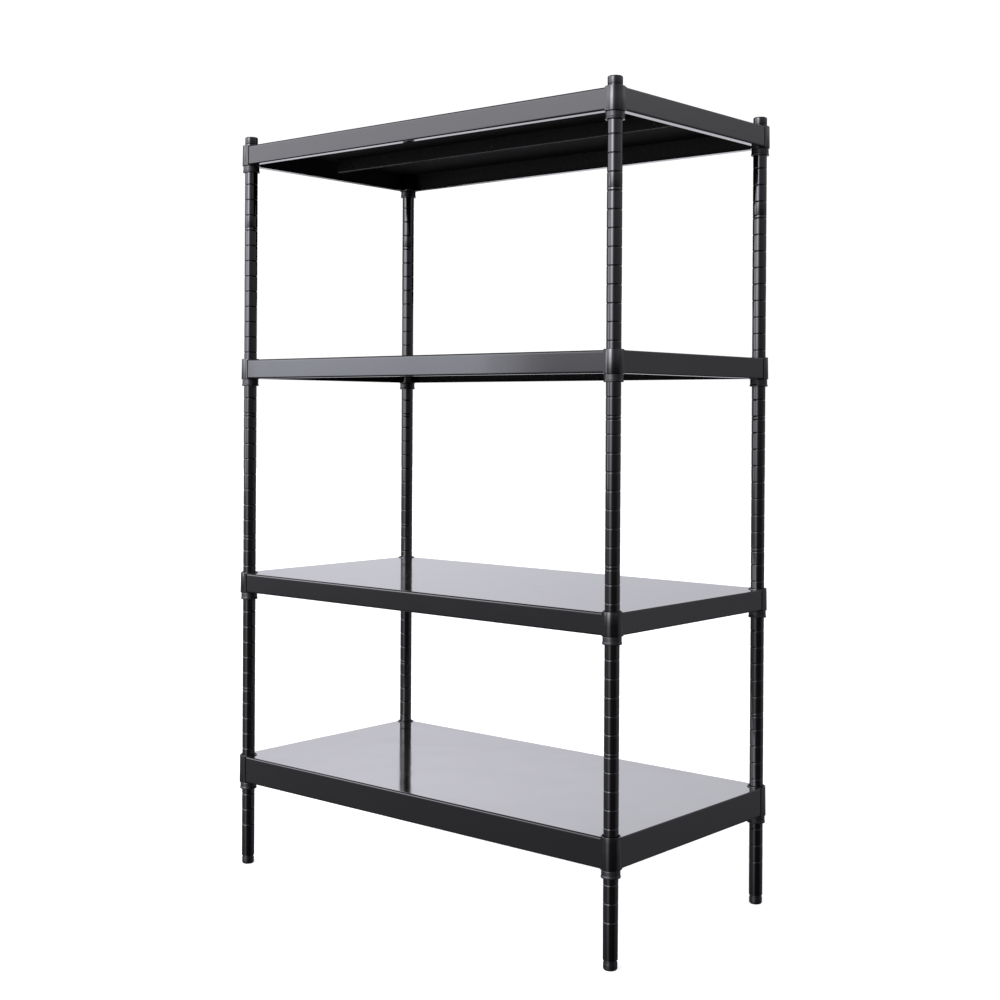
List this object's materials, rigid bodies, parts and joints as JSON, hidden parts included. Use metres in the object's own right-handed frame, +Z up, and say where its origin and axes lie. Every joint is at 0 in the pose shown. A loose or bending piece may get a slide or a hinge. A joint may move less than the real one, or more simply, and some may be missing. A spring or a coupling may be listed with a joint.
{
  "type": "shelving rack",
  "caption": "Freestanding rack of solid sheet-steel shelves, each lifting off tapered sleeves that clip into the grooves of round posts; levelling feet below.",
  "frame": {"origin": "centre of the rack's plan, on the floor under its feet", "axes": "+X along the long side, to the right seen from the front; +Y from the front to the back; +Z up the posts"},
  "size_m": [0.7796, 0.4076, 1.2125],
  "materials": {
    "sheet_coat": "gloss black powder coat on bent sheet steel",
    "tube_coat": "gloss black powder coat on steel tube",
    "plastic": "satin black moulded plastic",
    "steel": "zinc-plated thread"
  },
  "bodies": {
    "uprights": {"post_lower_fl": "tube_coat", "post_stud_fl": "steel", "post_upper_fl": "tube_coat", "post_cap_fl": "plastic", "post_lower_fr": "tube_coat", "post_stud_fr": "steel", "post_upper_fr": "tube_coat", "post_cap_fr": "plastic", "post_lower_rl": "tube_coat", "post_stud_rl": "steel", "post_upper_rl": "tube_coat", "post_cap_rl": "plastic", "post_lower_rr": "tube_coat", "post_stud_rr": "steel", "post_upper_rr": "tube_coat", "post_cap_rr": "plastic", "sleeve_t1_fl_a": "plastic", "sleeve_t1_fl_b": "plastic", "sleeve_t1_fr_a": "plastic", "sleeve_t1_fr_b": "plastic", "sleeve_t1_rl_a": "plastic", "sleeve_t1_rl_b": "plastic", "sleeve_t1_rr_a": "plastic", "sleeve_t1_rr_b": "plastic", "sleeve_t2_fl_a": "plastic", "sleeve_t2_fl_b": "plastic", "sleeve_t2_fr_a": "plastic", "sleeve_t2_fr_b": "plastic", "sleeve_t2_rl_a": "plastic", "sleeve_t2_rl_b": "plastic", "sleeve_t2_rr_a": "plastic", "sleeve_t2_rr_b": "plastic", "sleeve_t3_fl_a": "plastic", "sleeve_t3_fl_b": "plastic", "sleeve_t3_fr_a": "plastic", "sleeve_t3_fr_b": "plastic", "sleeve_t3_rl_a": "plastic", "sleeve_t3_rl_b": "plastic", "sleeve_t3_rr_a": "plastic", "sleeve_t3_rr_b": "plastic", "sleeve_t4_fl_a": "plastic", "sleeve_t4_fl_b": "plastic", "sleeve_t4_fr_a": "plastic", "sleeve_t4_fr_b": "plastic", "sleeve_t4_rl_a": "plastic", "sleeve_t4_rl_b": "plastic", "sleeve_t4_rr_a": "plastic", "sleeve_t4_rr_b": "plastic"},
    "tray_t1": {"shelf_t1": "sheet_coat", "stiffener_t1": "sheet_coat"},
    "tray_t2": {"shelf_t2": "sheet_coat", "stiffener_t2": "sheet_coat"},
    "tray_t3": {"shelf_t3": "sheet_coat", "stiffener_t3": "sheet_coat"},
    "tray_t4": {"shelf_t4": "sheet_coat", "stiffener_t4": "sheet_coat"},
    "leveller_fl": {"foot_fl": "plastic"},
    "leveller_fr": {"foot_fr": "plastic"},
    "leveller_rl": {"foot_rl": "plastic"},
    "leveller_rr": {"foot_rr": "plastic"}
  },
  "joints": [
    {"name": "lift_t1", "type": "slide", "parent": "uprights", "child": "tray_t1", "axis": [0, 0, 1], "range_m": [0, 0.258]},
    {"name": "lift_t2", "type": "slide", "parent": "uprights", "child": "tray_t2", "axis": [0, 0, 1], "range_m": [0, 0.309]},
    {"name": "lift_t3", "type": "slide", "parent": "uprights", "child": "tray_t3", "axis": [0, 0, 1], "range_m": [0, 0.309]},
    {"name": "lift_t4", "type": "slide", "parent": "uprights", "child": "tray_t4", "axis": [0, 0, 1], "range_m": [0, 0.06]},
    {"name": "level_fl", "type": "slide", "parent": "uprights", "child": "leveller_fl", "axis": [0, 0, -1], "range_m": [0, 0.01]},
    {"name": "level_fr", "type": "slide", "parent": "uprights", "child": "leveller_fr", "axis": [0, 0, -1], "range_m": [0, 0.01]},
    {"name": "level_rl", "type": "slide", "parent": "uprights", "child": "leveller_rl", "axis": [0, 0, -1], "range_m": [0, 0.01]},
    {"name": "level_rr", "type": "slide", "parent": "uprights", "child": "leveller_rr", "axis": [0, 0, -1], "range_m": [0, 0.01]}
  ]
}
